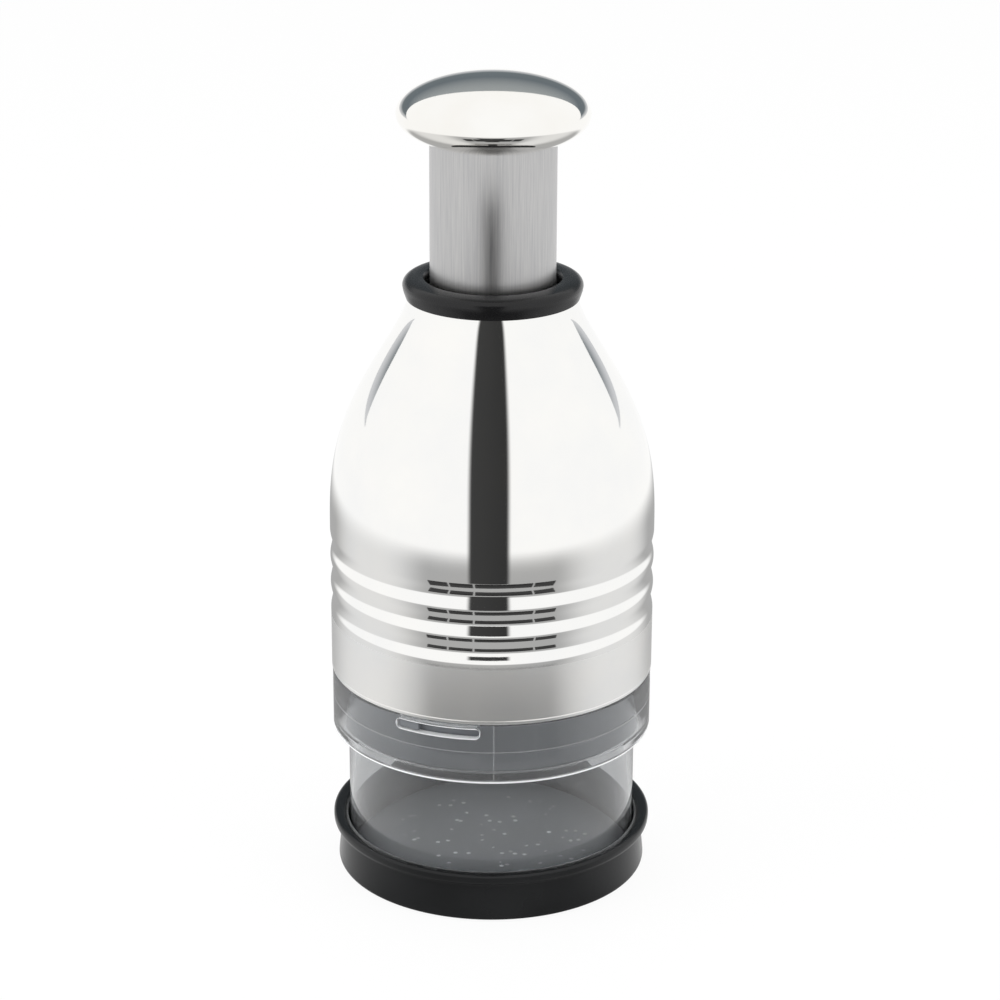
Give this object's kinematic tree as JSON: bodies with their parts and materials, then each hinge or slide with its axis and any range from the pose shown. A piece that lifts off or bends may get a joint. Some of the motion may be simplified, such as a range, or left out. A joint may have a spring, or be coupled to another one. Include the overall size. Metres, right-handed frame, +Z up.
{
  "type": "push-down onion chopper",
  "caption": "Push-down onion chopper: steel knob, plunger and ribbed housing over a clear cup that stands in a black base.",
  "frame": {"origin": "centre of the foot ring's underside, on the surface the chopper stands on", "axes": "+Z up along the plunger's axis, -Y towards the front, +X to the right as seen from the front"},
  "size_m": [0.0878, 0.0878, 0.2217],
  "materials": {
    "polished_steel": "mirror-polished stainless steel",
    "brushed_steel": "satin stainless steel",
    "blade_steel": "ground stainless steel",
    "spring_steel": "drawn wire and thin strip",
    "clear_plastic": "clear and smooth",
    "black_plastic": "smooth",
    "black_rubber": "smooth",
    "grey_plastic": "matte",
    "board_plastic": "matte",
    "pale_plastic": "matte"
  },
  "bodies": {
    "base": {"base_dish": "black_plastic", "foot_ring": "black_rubber", "chopping_disc": "board_plastic"},
    "cup": {"clear_cup": "clear_plastic"},
    "housing": {"steel_shell": "polished_steel", "housing_liner": "grey_plastic", "cam_post": "pale_plastic", "post_screw_1": "brushed_steel", "post_screw_2": "brushed_steel", "post_screw_3": "brushed_steel", "spring_seat": "brushed_steel", "collar": "black_rubber", "guide_bush": "black_plastic", "collar_nut": "grey_plastic", "return_spring": "spring_steel"},
    "plunger": {"knob_cap": "polished_steel", "knob_hub": "grey_plastic", "knob_stud": "brushed_steel", "plunger_tube": "brushed_steel", "stop_ring": "grey_plastic", "plunger_rod": "black_plastic", "rod_washer": "brushed_steel", "rod_screw": "brushed_steel"},
    "rotor": {"zigzag_blade": "blade_steel", "blade_clamp": "grey_plastic", "blade_carrier": "grey_plastic", "clamp_screw_1": "brushed_steel", "clamp_screw_2": "brushed_steel", "clamp_screw_3": "brushed_steel", "drive_tube": "pale_plastic", "index_ring": "pale_plastic", "wave_washer": "spring_steel"},
    "wiper": {"wiper_plate": "grey_plastic"}
  },
  "joints": [
    {"name": "cup_lift", "type": "slide", "parent": "base", "child": "cup", "axis": [0, 0, 1], "range_m": [0, 0.06]},
    {"name": "housing_twist", "type": "hinge", "parent": "cup", "child": "housing", "pos_m": [0, 0, 0.0557], "axis": [0, 0, 1], "range_deg": [0, 21]},
    {"name": "plunge", "type": "slide", "parent": "housing", "child": "plunger", "axis": [0, 0, 1], "range_m": [-0.036, 0], "stiffness_N_per_m": 300, "springref_m": 0.03, "deforming": ["return_spring"]},
    {"name": "blade_index", "type": "hinge", "parent": "plunger", "child": "rotor", "pos_m": [0, 0, 0.0889], "axis": [0, 0, 1], "range_deg": [-30.5, 0.5]},
    {"name": "wiper_turn", "type": "hinge", "parent": "housing", "child": "wiper", "pos_m": [0, 0, 0.0444], "axis": [0, 0, 1], "range_deg": [-30.5, 0.5]}
  ],
  "couplings": [
    {"joint": "blade_index", "follows": "plunge", "rad_per_m": 14.544},
    {"joint": "wiper_turn", "follows": "plunge", "rad_per_m": 14.544}
  ]
}
